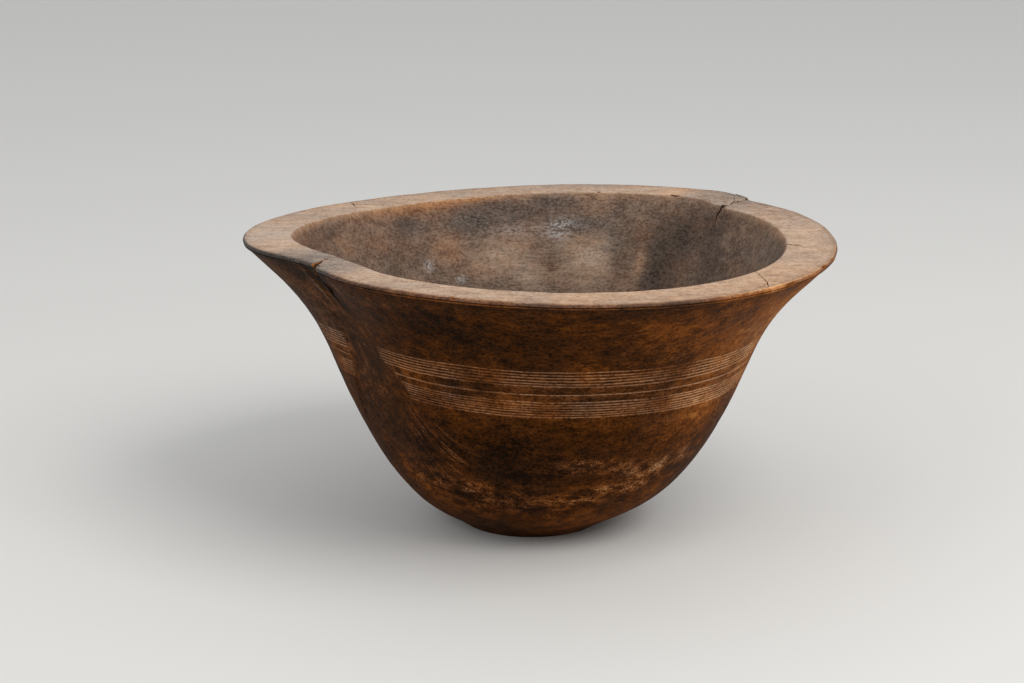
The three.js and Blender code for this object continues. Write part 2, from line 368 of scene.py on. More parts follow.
def sunk_share(add, turn, rise, hollow):
    """How far the flute has sunk at each point, outside and in the hollow."""
    depths = []
    for angle, depth, width, spread in (FLUTE_OUTSIDE, FLUTE_INSIDE):
        wide = add("MULTIPLY_ADD", rise, -radians(spread), radians(width + spread))
        hump = bell(add, turn, angle, wide)
        sized = add("MULTIPLY", hump, depth)
        depths.append(add("MULTIPLY", sized, rise))
    return add("ShaderNodeMix", hollow, *depths, data_type="FLOAT")


def warped_place(add, sizes):
    """Where each point of the blank lies on wood that has pulled out of round, sunk and slipped."""
    turn, reach, height, hollow = (attribute(add, name) for name in ("turn", "reach", "height", "hollow"))
    rise = add("DIVIDE", height, sizes.outputs["Height"])
    radius = add("DIVIDE", sizes.outputs["Rim Diameter"], 2)
    fade = add("POWER", rise, ROUNDNESS_FADE)
    pulled = add("MULTIPLY", sum_of_waves(add, turn, ROUNDNESS_WAVES), fade)
    moved = add("SUBTRACT", pulled, sunk_share(add, turn, rise, hollow))
    stretch = add("DIVIDE", moved, radius)
    mouth = add("MULTIPLY", sum_of_waves(add, turn, MOUTH_WAVES), rise)
    mouth = add("MULTIPLY", mouth, hollow)
    base = add("MULTIPLY_ADD", reach, stretch, reach)
    far = add("ADD", base, mouth)
    across, back = (add("MULTIPLY", add(wave, turn), far) for wave in ("COSINE", "SINE"))
    # the foot was cut to the left of the middle
    low = add("SUBTRACT", 1, rise)
    low = add("POWER", low, FOOT_SHIFT_FADE)
    across = add("MULTIPLY_ADD", low, FOOT_SHIFT, across)
    # the side of each crack's line decides which way the wood has slipped
    slip = 0
    for angle, before, after, spread, roll, width, start, heading in SLIPS:
        aim = Vector((cos(radians(heading)), sin(radians(heading))))
        side = add("MULTIPLY_ADD", across, -aim.y, start[0] * aim.y - start[1] * aim.x)
        side = add("MULTIPLY_ADD", back, aim.x, side)
        rolled = bell(add, turn, angle, radians(width))
        rolled = add("MULTIPLY_ADD", rolled, -roll * after, after)
        step = add(RANGE, side, -SLIP_STEP / 2, SLIP_STEP / 2, before, rolled)
        reached = bell(add, turn, angle, radians(spread))
        slip = add("MULTIPLY_ADD", step, reached, slip)
    steep = add("POWER", rise, SLIP_FADE)
    lifted = add("MULTIPLY_ADD", sum_of_waves(add, turn, LEVEL_WAVES), rise, height)
    lifted = add("MULTIPLY_ADD", slip, steep, lifted)
    return add("ShaderNodeCombineXYZ", across, back, lifted)


def incised_lines(add, level, width):
    """One at the bottom of each incised line and nought between the lines, for every group of the band."""
    total = 0
    for first, spacing, count in LINE_GROUPS:
        place = add("SUBTRACT", level, first)
        place = add("DIVIDE", place, spacing)
        nearest = add("ROUND", place)
        nearest = add("ShaderNodeClamp", nearest, 0, count - 1)
        away = add("SUBTRACT", place, nearest)
        for operation, value in (("ABSOLUTE", None), ("MULTIPLY", spacing), ("DIVIDE", width)):
            away = add(operation, away, value)
        line = add(RANGE, away, *LINE_SIDES, 1, 0)
        total = add("MAXIMUM", line, total)
    return total


def shape_tree(name, inputs):
    """A geometry nodes tree with a mesh in, a mesh out and its named inputs, which are given with their kinds."""
    tree = bpy.data.node_groups.new(name, "GeometryNodeTree")
    for label, kind in {"Geometry": "Geometry", **inputs}.items():
        tree.interface.new_socket(label, in_out="INPUT", socket_type=f"NodeSocket{kind}")
    tree.interface.new_socket("Geometry", in_out="OUTPUT", socket_type="NodeSocketGeometry")
    return tree


def aged_bowl_tree():
    """Geometry nodes that pull the blank out of round, cut its lines and give it the unevenness of hand carving."""
    names = ("Rim Diameter", "Height", "Line Width", "Line Depth", "Channel Depth", "Unevenness", "Seed")
    tree = shape_tree("aged_bowl", {**dict.fromkeys(names, "Float"), "Material": "Material"})
    add = partial(add_node, tree)
    sizes = add("NodeGroupInput")
    bent = add("GeometryNodeSetPosition", sizes.outputs["Geometry"], None, warped_place(add, sizes))
    place = add("GeometryNodeInputPosition")
    seed = sizes.outputs["Seed"]
    # lines fade in and out along their length, and stop at the channel
    pressure, broad, fine = (add("ShaderNodeTexNoise", place, seed, scale, OCTAVES, noise_dimensions="4D")
                             for scale in (PRESSURE_SCALE, BROAD_SCALE, FINE_SCALE))
    pressure = add(RANGE, pressure, 0.32, 0.5, 0.35, 1)
    lines = incised_lines(add, attribute(add, "level"), sizes.outputs["Line Width"])
    kept, outside = (add("SUBTRACT", 1, attribute(add, name)) for name in ("pared", "hollow"))
    for share in (pressure, kept, outside):
        lines = add("MULTIPLY", lines, share)
    marked = add(STORE, bent, None, "line", lines, data_type="FLOAT", domain="POINT")
    # hand carving leaves the surface uneven over a thumb's width, with finer marks within that
    uneven = add("MULTIPLY_ADD", fine, 0.35, broad)
    uneven = add("SUBTRACT", uneven, 0.68)
    # the foot itself stays flat
    off_foot = add(RANGE, attribute(add, "height"), 0, 0.006, 0, 1)
    for share in (sizes.outputs["Unevenness"], off_foot):
        uneven = add("MULTIPLY", uneven, share)
    cut = add("MULTIPLY", lines, sizes.outputs["Line Depth"])
    pared = attribute(add, "pared")
    pared = add("MULTIPLY_ADD", pared, sizes.outputs["Channel Depth"], cut)
    inwards = add("SUBTRACT", uneven, pared)
    normal = add("GeometryNodeInputNormal")
    offset = add("ShaderNodeVectorMath", normal, named={"Scale": inwards}, operation="SCALE")
    carved = add("GeometryNodeSetPosition", marked, named={"Offset": offset})
    real = add("GeometryNodeRealizeInstances", carved)
    finished = add("GeometryNodeSetMaterial", real, named={"Material": sizes.outputs["Material"]})
    add("NodeGroupOutput", finished)
    return tree


def shown(data, name):
    """A mesh, lamp or camera put into the scene."""
    thing = bpy.data.objects.new(name, data)
    bpy.context.scene.collection.objects.link(thing)
    return thing


def made_by(tree, mesh, values, name):
    """The plain mesh that a tree makes from a mesh, with its inputs set by their identifiers."""
    piece = shown(mesh, name)
    modifier = piece.modifiers.new(tree.name, "NODES")
    modifier.node_group = tree
    for item in tree.interface.items_tree:
        if item.name in values and item.in_out == "INPUT":
            modifier[item.identifier] = values[item.name]
    result = bpy.data.meshes.new_from_object(piece.evaluated_get(bpy.context.evaluated_depsgraph_get()))
    bpy.data.objects.remove(piece)
    return result


def store(mesh, values):
    for name, value in values.items():
        mesh.attributes.new(name, "FLOAT", "POINT").data.foreach_set("value", value.astype(np.float32))


def values_of(mesh, name):
    found = np.empty(len(mesh.vertices), np.float32)
    mesh.attributes[name].data.foreach_get("value", found)
    return found


def places_of(mesh):
    found = np.empty(len(mesh.vertices) * 3, np.float32)
    mesh.vertices.foreach_get("co", found)
    return found.reshape(-1, 3)


# Cracks, chips and the splinter's notch. Lines are pairs of reach from the bowl's axis in mm and angle. A crack's
# levels go from the top down: height in metres, share of the crack's widths (which are in mm) and line

FRONT_CRACK = (
    (0.196, 1, ((151.5, 211), (155.5, 212), (158.4, 212.8), (161.9, 213.9), (164.5, 214.8), (172, 216.5))),
    (0.185, 1, ((151, 211), (155.5, 212), (158.4, 212.8), (161.9, 213.9), (164.5, 214.8), (172, 216))),
    (0.182, 1.1, ((148, 211.4), (152, 212), (155.5, 212.6), (159, 213), (162, 213.3), (170, 214))),
    (0.179, 1.7, ((146, 211.6), (149, 212), (152.5, 212.4), (156, 212.8), (159.5, 213.1), (166, 213.6))),
    (0.176, 2, ((145, 212.8), (148, 213.8), (151.5, 214.7), (155, 215.3), (158.7, 215.7), (165, 216.2))),
    (0.174, 1.9, ((144, 213), (147, 213.9), (150, 214.6), (153.5, 215.3), (157, 215.7), (163, 216.2))),
    (0.17, 1.1, ((142, 212.8), (144.5, 213.3), (147.5, 213.8), (150.5, 214.1), (153, 214.3), (159, 214.7))),
    (0.167, 0.45, ((140, 213), (142.5, 213.4), (145.5, 213.8), (148.5, 214.1), (150.5, 214.2), (156, 214.5))),
    (0.165, 0.8, ((138.5, 213.2), (141, 213.6), (144, 213.9), (147, 214.1), (149.5, 214.2), (155, 214.5))),
    (0.158, 0.15, ((135, 213.9), (137.5, 214), (140, 214.1), (142.5, 214.2), (145, 214.3), (150, 214.4))),
)
FRONT_CRACK_WIDTHS = (0.4, 0.9, 1.2, 2, 3, 3.6)
REAR_CRACK_ARM = ((177.1, 41.1), (182.7, 41.1), (187.2, 41), (192.5, 41.8), (200, 42.8))
REAR_CRACK_LINE = ((150, 39.5), (160, 39.8), (164, 39.8), (171.8, 40.3), *REAR_CRACK_ARM)
REAR_CRACK_LOW = ((148, 39.9), (156, 40), (160, 40.1), (171.8, 40.4), *REAR_CRACK_ARM)
REAR_CRACK = ((0.197, 1, REAR_CRACK_LINE), (0.183, 1, REAR_CRACK_LINE), (0.18, 0.9, REAR_CRACK_LOW),
              (0.1775, 0.5, REAR_CRACK_LOW), (0.1745, 0.2, REAR_CRACK_LOW))
REAR_CRACK_WIDTHS = (1.5, 1.4, 0.9, 0.6, 0.6, 0.5, 0.5, 0.6, 0.8)
SPLINTER_LEFT_LINE = ((176.5, 41), (182, 42.5), (188, 43.8), (193.5, 45.3), (202, 46.4))
SPLINTER_RIGHT_LINE = ((176.5, 41), (182.5, 41.1), (187.2, 41.1), (193, 41.9), (202, 42.9))
# Checks in the rim: line, then width and depth in mm
RIM_CHECKS = (
    (((198, 131.6), (190, 133), (182, 134.6), (172, 136.5)), 0.7, 4),
    (((180, 134), (177, 131.2), (167, 130.9)), 0.4, 2),
    (((158, 323.7), (165, 321.4), (174.3, 318.4), (184.2, 315.5), (190, 313.4)), 0.7, 3),
    (((179, 317), (184, 317.7), (190, 318.3)), 1.1, 3),
    (((169.8, 321), (175, 322.6), (182, 323.6)), 1.1, 3),
    (((189.3, 309.8), (187, 312.8), (184.5, 315.2)), 1.1, 3),
    (((151, 355.4), (156, 354.9), (160, 354.2), (165, 353.2)), 2.6, 4),
    (((168, 20.6), (179, 22.1), (190, 23.3)), 0.4, 1.2),
    (((174, 352.6), (178, 350.9)), 0.9, 2),
    (((157, 214.5), (160, 219), (164, 222.5)), 0.4, 2),
)
# Chips out of the rim's edges: angle, then inset from the outer edge, length, width and height in mm
CHIPS = (
    (342, 0.2, 7.5, 2.4, 2.6),
    (335.4, 0.6, 9.5, 2.2, 2.8),
    (253, 0.4, 3.4, 2, 2.2),
    (150.5, 0, 10, 3, 2.2),
    (319.5, 0, 11, 2.6, 1.8),
    (214.6, 1.2, 4, 4, 3),
    (74, RIM_WIDTH * 1000, 3.4, 2, 2.2),
    (54, RIM_WIDTH * 1000 - 1, 9, 2.6, 2.4),
    (39.5, RIM_WIDTH * 1000 - 1, 3.6, 2.2, 2.2),
)


# How far a check's cutter reaches above the rim, how far apart a crack's levels are, and the splinter's unevenness
ABOVE_RIM = 0.006
CUT_STEP = 0.0016
SPLINTER_STRAY = 0.0005
SPLINTER_LEAN = 0.0002


def zigzag(draw, count, spread, step=3):
    """Seeded unevenness along a run of points, with a knot every few points."""
    knots = [draw.uniform(-spread, spread) for _ in range(count // step + 2)]
    return np.interp(np.arange(count), np.arange(len(knots)) * step, knots)


def resampled(line, count):
    """Points of a line given by reach and angle, evenly spread by their order."""
    line = np.array(line, float) / (1000, 1)
    order = np.linspace(0, len(line) - 1, count)
    reach, angle = (np.interp(order, np.arange(len(line)), line[:, k]) for k in (0, 1))
    return np.stack([reach * np.cos(np.radians(angle)), reach * np.sin(np.radians(angle))], 1)


def levels_between(levels, step, stations):
    """The plan lines and width shares of a crack at every step of height, from its levels."""
    heights = np.array([level[0] for level in levels])
    stops = np.linspace(heights[0], heights[-1], round((heights[0] - heights[-1]) / step) + 1)
    plans = np.array([resampled(level[2], stations) for level in levels])
    order = np.interp(-stops, -heights, np.arange(len(levels)))
    lower = np.clip(np.floor(order).astype(int), 0, len(levels) - 2)
    share = (order - lower)[:, None, None]
    lines = plans[lower] * (1 - share) + plans[lower + 1] * share
    return stops, lines, np.interp(-stops, -heights, [level[1] for level in levels])


def at_heights(plans, stops):
    """The points of a run of plan lines, each line at its own height."""
    return np.concatenate([plans, np.broadcast_to(stops[:, None, None], (*plans.shape[:2], 1))], 2)


def closed_slab(name, left, right):
    """A closed piece between two grids of points, level by level and station by station."""
    levels, stations = left.shape[:2]
    count = levels * stations
    grid = np.arange(count).reshape(levels, stations)

    def skin(a, b):
        return np.stack([a[:-1], a[1:], b[1:], b[:-1]], -1).reshape(-1, 4).tolist()

    faces = [face for row in range(levels - 1) for face in skin(grid[row], grid[row + 1])]
    faces += [face for row in range(levels - 1) for face in skin(grid[row + 1] + count, grid[row] + count)]
    faces += skin(grid[0] + count, grid[0]) + skin(grid[-1], grid[-1] + count)
    faces += skin(grid[:, 0], grid[:, 0] + count) + skin(grid[:, -1] + count, grid[:, -1])
    mesh = bpy.data.meshes.new(name)
    mesh.from_pydata(np.concatenate([left.reshape(-1, 3), right.reshape(-1, 3)]).tolist(), [], faces)
    shape = bmesh.new()
    shape.from_mesh(mesh)
    bmesh.ops.recalc_face_normals(shape, faces=shape.faces)
    shape.to_mesh(mesh)
    shape.free()
    return mesh


def crack_cutter(name, levels, widths, stations, wander, seed):
    """A thin torn slab that follows a crack's line down through the wood."""
    draw = random.Random(seed)
    stops, lines, shares = levels_between(levels, CUT_STEP, stations)
    along = np.gradient(lines, axis=1)
    along /= np.linalg.norm(along, axis=2, keepdims=True)
    across = np.stack([-along[..., 1], along[..., 0]], -1)
    stray = zigzag(draw, stations, wander, 2) + zigzag(draw, len(stops), wander * 0.7)[:, None]
    half = np.interp(np.linspace(0, len(widths) - 1, stations), np.arange(len(widths)), widths) / 2000
    sides = []
    for sign in (1, -1):
        rough = 1 + zigzag(draw, stations, 0.3, 1) + zigzag(draw, len(stops), 0.2, 1)[:, None]
        offset = stray + sign * half * shares[:, None] * rough
        sides.append(at_heights(lines + across * offset[..., None], stops))
    return closed_slab(name, *sides)


def splinter_block(name, low, high, gap):
    """The wedge of rim between the arms of the rear crack, smaller all round by a gap."""
    stations = 12
    draw = random.Random(11)
    left, right = (resampled(line, stations) for line in (SPLINTER_LEFT_LINE, SPLINTER_RIGHT_LINE))
    for side in (left, right):
        side[1:] += np.stack([zigzag(draw, stations, SPLINTER_STRAY, 1) for _ in "xy"], 1)[1:]
    across = left - right
    across[0] = across[1]
    across /= np.linalg.norm(across, axis=1, keepdims=True)
    # its sides lean in and out a little, and its narrow tip is drawn back further
    left, right = left - across * (gap - SPLINTER_LEAN), right + across * (gap - SPLINTER_LEAN)
    left[0] += (left[1] - left[0]) * gap / 0.002
    right[0] += (left[1] - left[0]) * gap / 0.002
    stops = np.linspace(high, low + gap, 9)
    lean = np.stack([zigzag(draw, len(stops), SPLINTER_LEAN, 1) for _ in "xy"], 1)[:, None]
    return closed_slab(name, *(at_heights(side + lean, stops) for side in (left, right)))


def chip_cutter(name, place, angle, size, seed):
    """A torn hollow, longer along the rim than across it."""
    draw = random.Random(seed)
    shape = bmesh.new()
    bmesh.ops.create_icosphere(shape, subdivisions=3, radius=0.5)
    for corner in shape.verts:
        corner.co *= 1 + draw.uniform(-0.09, 0.09)
    laid = Matrix.Translation(place) @ Matrix.Rotation(radians(angle + 90), 4, "Z") @ Matrix.Diagonal((*size, 1))
    bmesh.ops.transform(shape, matrix=laid, verts=shape.verts)
    mesh = bpy.data.meshes.new(name)
    shape.to_mesh(mesh)
    shape.free()
    return mesh


def rim_point(whole, angle, inset):
    """A point on the rim's flat top, by angle and distance in from its outer edge."""
    turn, reach, rim = (values_of(whole, name) for name in ("turn", "reach", "rim"))
    off = np.abs((np.degrees(turn) - angle + 180) % 360 - 180)
    score = off + np.abs(reach - (RIM_RADIUS - inset)) * 1000 + np.where(rim > 0.99, 0, 1000)
    return Vector(places_of(whole)[int(np.argmin(score))].tolist())


def wear_cutters(whole):
    """Every crack, check and chip as a closed cutter."""
    cutters = [
        crack_cutter("front_crack", FRONT_CRACK, FRONT_CRACK_WIDTHS, 24, wander=0.0004, seed=1),
        crack_cutter("rear_crack", REAR_CRACK, REAR_CRACK_WIDTHS, 40, wander=0.0005, seed=2),
    ]
    for number, (line, width, depth) in enumerate(RIM_CHECKS):
        middle = line[len(line) // 2]
        top = rim_point(whole, middle[1], RIM_RADIUS - middle[0] / 1000).z
        levels = ((top + ABOVE_RIM, 1.2, line), (top, 1, line), (top - depth / 1000, 0.2, line))
        ends = (width * 0.4, *(width,) * (len(line) - 2), width * 0.5)
        cutters.append(crack_cutter("check", levels, ends, 6 * len(line), wander=0.0004, seed=20 + number))
    for number, (angle, inset, *size) in enumerate(CHIPS):
        place = rim_point(whole, angle, inset / 1000)
        cutters.append(chip_cutter("chip", place, angle, [side / 1000 for side in size], 40 + number))
    return cutters


def cut(mesh, cutters, operation, name):
    """The mesh after its cutters have been taken away from it, or have bounded it."""
    piece = shown(mesh, name)
    group = bpy.data.collections.new("cutters")
    bpy.context.scene.collection.children.link(group)
    for cutter in cutters:
        cutter.materials.append(mesh.materials[0])
        group.objects.link(bpy.data.objects.new("cutter", cutter))
    modifier = piece.modifiers.new("cut", "BOOLEAN")
    modifier.operation = operation
    modifier.operand_type = "COLLECTION"
    modifier.collection = group
    modifier.solver = "MANIFOLD"
    result = bpy.data.meshes.new_from_object(piece.evaluated_get(bpy.context.evaluated_depsgraph_get()))
    for scrap in (piece, *group.objects):
        bpy.data.objects.remove(scrap)
    bpy.data.collections.remove(group)
    return result


def old_skin_tree():
    """Geometry nodes that mark how deep each point lies under the old skin, and choose each face's finish."""
    finishes = dict.fromkeys(("Outside", "Rim", "Hollow", "Torn"), "Material")
    tree = shape_tree("old_skin", {"Skin": "Object", "Torn Depth": "Float", **finishes})
    add = partial(add_node, tree)
    inputs = add("NodeGroupInput")
    skin = add("GeometryNodeObjectInfo", inputs.outputs["Skin"]).outputs["Geometry"]
    marked = inputs.outputs["Geometry"]
    for name in ("hollow", "rim", "line", "pared", "level"):
        sampled = add("GeometryNodeSampleNearestSurface", skin, attribute(add, name), data_type="FLOAT")
        marked = add(STORE, marked, None, name, sampled, data_type="FLOAT", domain="POINT")
    away = add("GeometryNodeProximity", skin, target_element="FACES").outputs["Distance"]
    marked = add(STORE, marked, None, "depth", away, data_type="FLOAT", domain="POINT")
    real = add("GeometryNodeRealizeInstances", marked)
    finished = add("GeometryNodeSetMaterial", real, None, inputs.outputs["Outside"])
    torn_depth = inputs.outputs["Torn Depth"]
    for kind, limit, name in (("hollow", 0.9, "Hollow"), ("rim", 0.35, "Rim"), ("depth", torn_depth, "Torn")):
        chosen = add("FunctionNodeCompare", attribute(add, kind), limit, operation="GREATER_THAN")
        finished = add("GeometryNodeSetMaterial", finished, chosen, inputs.outputs[name])
    add("NodeGroupOutput", finished)
    return tree


# Painted wear, stains, shade and highlights: angle, height in mm, spread in degrees and in mm of height, then by
# how many hundredths the wood is paler, warmer, more worn through and dustier there

OUTSIDE_MARKS = (
    (252, 160, 28, 15, -7, 0, -10),  # smoke black above the band
    (240, 160, 13, 16, -5),
    (228, 164, 10, 18, 2, -34),
    (298, 162, 14, 16, 9, 5),
    (332, 145, 24, 50, 36, 0, 10),  # handled side, rubbed to orange brown, and paler as painted light on the right side
    (314, 98, 15, 14, 18, 12, 10),
    (229, 177, 11, 4, 5, -20, 20),  # rubbed below the lip
    (195, 150, 19, 50, 8, -50, 10),  # weathered left side
    (213, 110, 9, 45, -2, -20),  # pared channel
    (217, 70, 7, 20, 5, -10),
    (216, 168, 3, 14, -10),
    (214.6, 176, 1.5, 9, -32),  # painted shade in and beside the front crack, and under the left rim's edge
    (216, 160, 1.6, 6, -14),
    (211.8, 177, 1.8, 8, -14, -30),
    (206, 181, 4, 4, -12, -20),
    (202, 179, 9, 6, -5, -18),
    # painted highlights along the raised folds beside the front crack
    (209, 173, 0.6, 12, 18, -60),
    (222, 179, 0.9, 6, 16, -50),
    (275, 119, 45, 12, 6, -10, 10),  # between the incised lines
    (196, 118, 6, 20, 4, 30),
    (230, 124, 6, 7, 7, 5, 20),
    (262, 82, 26, 16, -12),
    (266, 62, 13, 12, -13, -20, -20),  # hearth-black patch
    (283, 69, 9, 4, 6, -15, 180),  # scuffed where it lay on its side
    (293, 66.5, 5, 4, 8, -5, 160),
    (303, 57, 8, 5.5, 8, 0, 170),
    (298, 49, 13, 3.5, 5, 0, 150),
    (284, 42, 14, 6, 0, 5, 120),
    (311, 64, 8, 4.5, 7, -5, 160),
    (319.6, 66.5, 2, 5, 14, -10, 120),
    (325, 62, 6, 4, 2, -10, 60),
    (234, 74, 13, 16, -10),
    (224, 50, 9, 12, -2, 0, 80),  # grease-gold mottling low on the belly
    (243, 46, 16, 10, -6, -5, 100),
    (258, 38, 20, 8, -7, 0, 70),
    (290, 26, 40, 10, 2, 10, 20),
    (300, 14, 30, 10, 10, 30),
    (313, 38, 10, 12, 9, 10, 10),
    (20, 140, 20, 30, 14, 0, 20),
    (62, 155, 16, 18, -5),
    (60, 60, 14, 12, 0, -20, 90),
    (112, 150, 22, 25, 8, 0, 10),
    (125, 50, 20, 14, 3, -10, 80),
    (158, 90, 16, 30, -4, -10, 20),
)
RIM_MARKS = (
    (211, 186, 12, 50, -20, -33, 20, 10),  # weathered grey beside the front crack
    (175, 186, 15, 50, 5, -10, 10),
    (44, 186, 10, 50, -15, -18, 20, 5),  # weathered grey beside the rear crack
    (57, 186, 4, 50, 5, 25),
    (292, 186, 38, 50, -2, 12),  # rubbed pale along the front
    (90, 186, 30, 50, -5, -5, 10),
    (27, 186, 7, 50, -6, 0, 20),
    (325, 186, 12, 50, 0, 10),
)
HOLLOW_MARKS = (
    (124, 178, 16, 5.5, 6, 55),  # milk-fat orange under the rim
    (158, 183.5, 30, 3.2, 15, 24),
    (8, 183, 13, 2.8, 14, 22),
    (150, 167, 2, 3, 3, 20),
    (135.6, 157, 2, 3, 5, 24),
    (148.6, 160, 1.6, 2, 4, 20),
    (154.6, 173, 3, 3, -10),
    (126, 168, 3.5, 4, -12, -5),
    (108, 182, 10, 3, 8, 50),
    (168, 174, 14, 10, -4, 15),
    (140, 163, 8, 8, 4, 20),
    (132, 152, 7, 10, -6),
    (116, 150, 5, 10, 3, 25),
    (100, 143, 8, 11, 18, 4),  # scoured tan patch
    (92, 130, 6, 8, 16, 2),
    (82, 148, 4, 12, 10, 4),
    (74, 142, 6, 16, 24, 4),
    (86.5, 136, 2.2, 10, -12),
    (66.5, 140, 2.2, 14, -7),
    (100, 174, 12, 7, -15, -13, 0, 8),  # blue-grey soaked patches
    (108, 166, 7, 5, -10, -10, 0, 10),
    (84, 180, 5, 5, -12, -10, 0, 10),
    (79, 164, 5, 5, -14, -10, 0, 15),
    (52, 142, 7, 24, -20, -8),  # painted shade on the hollow's right wall, which faces away from the light
    (47, 168, 7, 12, -14, -5),
    (36, 152, 9, 16, -8, -8),
    (39, 176, 4, 10, -12),
    (12, 168, 12, 12, 5, -5),
    (59.5, 142, 2, 14, 23, 28),
    (61, 160, 4, 8, -6, 10),
    (84, 164, 3.5, 3, 0, 0, 0, 80),  # dried milk
    (85, 158, 3, 3, 0, 0, 0, 70),
    (97, 160, 6, 4, 0, 0, 0, 35),
    (123, 141, 1.2, 2.4, 16, 0, 0, 130),
    (114, 130, 1.2, 2.2, 16, 0, 0, 130),
    (250, 120, 30, 30, 5, 5, 0, 10),
    (320, 90, 30, 30, -6, 0, 0, 10),
)
LIP_MARKS = (
    (294, 186, 7, 50, -12, -25),  # dark bruise on the worn edge
    (272, 186, 6, 50, -6, -15),
    (310, 186, 14, 50, 10, 30),
    (328, 186, 20, 50, 6, 25),
    (314.5, 186, 2.2, 50, 16, 30),
    (228, 186, 14, 50, -12, -10),
    # painted shade on the lip's edge along the left wing, and in the front crack
    (194, 186, 24, 50, -26, -80),
    (214.8, 186, 1, 50, -50),
)
PLAIN_WOOD = {"outside": (17, 90, 25, 0), "rim": (82, 30, 30, 0), "hollow": (54, 12, 20, 5), "lip": (0, 0, 0, 0)}
# Up the lip from its underside: level, tone and warmth of painted shade under the lip, a golden bead, a dark line
# and the worn edge above it
LIP_COLOURS = ((0.182, 0.14, 0.8), (0.1824, 0.42, 0.9), (0.1829, 0.44, 0.9), (0.1833, 0.24, 0.8),
               (0.1836, 0.14, 0.75), (0.184, 0.38, 0.6), (0.1852, 0.42, 0.55), (0.1857, 0.54, 0.45),
               (0.186, 0.8, 0.36))
# Where fibres run up the wall, and where old tool marks fan out over it, as for the marks above
UPRIGHT_FIBRES = ((214, 110, 9, 60, 100), (192, 130, 14, 60, 90), (12, 130, 16, 60, 60))
TOOL_MARKS = ((232, 88, 8, 12, 100), (241, 72, 9, 14, 100), (226, 60, 5, 20, 60), (236, 50, 8, 10, 70),
              (318, 64, 8, 8, 70), (110, 70, 12, 16, 80))
# Tool marks fan out from one angle: how steeply they start there, and how fast they flatten along the wall
FAN_START = 217
FAN_STEEPNESS = 2.2
FAN_FLATTENING = -13.4
WAIST_REACH = 0.13
# The hollow is rubbed pale and warm just under the rim's inner edge, and this also paints a highlight along that
# rounded
# edge: how far down, and by how much
MOUTH_GLOW_HEIGHT = 0.0022
MOUTH_GLOW = (0.07, 0.12)
# Split wood: how pale it is at the skin, and how fast painted shade darkens it inwards, at the front of the rim and
# elsewhere
FRESH_SPLIT = (0.66, 290)
OLD_SPLIT = (0.2, 200)
FRESH_ABOVE = 0.181
SPLIT_WARMTH = 0.95


def painted(marks, plain, turns, heights):
    """Sums up marks over a surface, from its plain amounts."""
    total = np.repeat(np.array(plain, float)[:, None], len(turns), 1)
    for angle, height, wide, tall, *amounts in marks:
        off = ((turns - angle + 180) % 360 - 180) / wide
        fall = np.exp(-(off**2) - ((heights * 1000 - height) / tall) ** 2)
        total[: len(amounts)] += np.array(amounts)[:, None] * fall
    return total / 100


def paint(mesh):
    """Stores how pale, warm, worn and dusty the wood is at each point, and how its fibres and tool marks run."""
    places = places_of(mesh)
    turns = np.degrees(np.arctan2(places[:, 1], places[:, 0])) % 360
    heights = places[:, 2]
    hollow, rim, level, depth = (values_of(mesh, name) for name in ("hollow", "rim", "level", "depth"))
    outside, top, inside, lip = (painted(marks, PLAIN_WOOD[name], turns, heights) for name, marks in (
        ("outside", OUTSIDE_MARKS), ("rim", RIM_MARKS), ("hollow", HOLLOW_MARKS), ("lip", LIP_MARKS)))
    inner = np.clip((hollow - 0.5) * 4, 0, 1)
    under = np.exp(-(((level - HEIGHT + EDGE_ROUND) / MOUTH_GLOW_HEIGHT) ** 2))
    inside[:2] += np.outer(MOUTH_GLOW, under)
    total = outside * (1 - inner) + inside * inner
    # the rim is greyer along its outer edge, and paler towards its inner one as a painted highlight of that rounded
    # edge
    top[0] += 0.05 * hollow - 0.1 * np.exp(-((hollow / 0.06) ** 2))
    total = total * (1 - rim) + top * rim
    levels, *shades = zip(*LIP_COLOURS)
    on_lip = (hollow < 0.02) & (level > levels[0] - 0.00005) & (level < levels[-1] - 0.00001)
    for row, shade in enumerate(shades):
        total[row][on_lip] = np.interp(level, levels, shade)[on_lip] + lip[row][on_lip]
    # split wood is orange near the skin, and painted shade darkens it deeper in the crack
    torn = depth > TORN_DEPTH / 2
    fresh = (heights > FRESH_ABOVE) & (places[:, 1] < 0)
    skin_tone, painted_shade_per_depth = (np.where(fresh, *amounts) for amounts in zip(FRESH_SPLIT, OLD_SPLIT))
    total[0][torn] = np.clip(skin_tone - painted_shade_per_depth * depth, 0.02, 1)[torn]
    total[1][torn] = SPLIT_WARMTH
    marks = {name: painted(spots, (0,), turns, heights)[0] * (inner < 0.5) * (rim < 0.5)
             for name, spots in (("upright", UPRIGHT_FIBRES), ("scratched", TOOL_MARKS))}
    marks.update(zip(("tone", "warmth", "wear", "dust"), total), round=np.radians(turns) * WAIST_REACH)
    store(mesh, marks)


# Finishes


def colour(text):
    """An sRGB hex colour as linear values."""
    parts = [int(text[k : k + 2], 16) / 255 for k in (1, 3, 5)]
    return [part / 12.92 if part <= 0.04045 else ((part + 0.055) / 1.055) ** 2.4 for part in parts] + [1]


# Colours of the old wood from dark to pale, where it is dull and where it is warm
DULL_WOOD = ("#14100d", "#33281f", "#5c4c40", "#8d7b6b", "#bdab9b")
WARM_WOOD = ("#190a01", "#482507", "#824819", "#b67b44", "#dcab79")


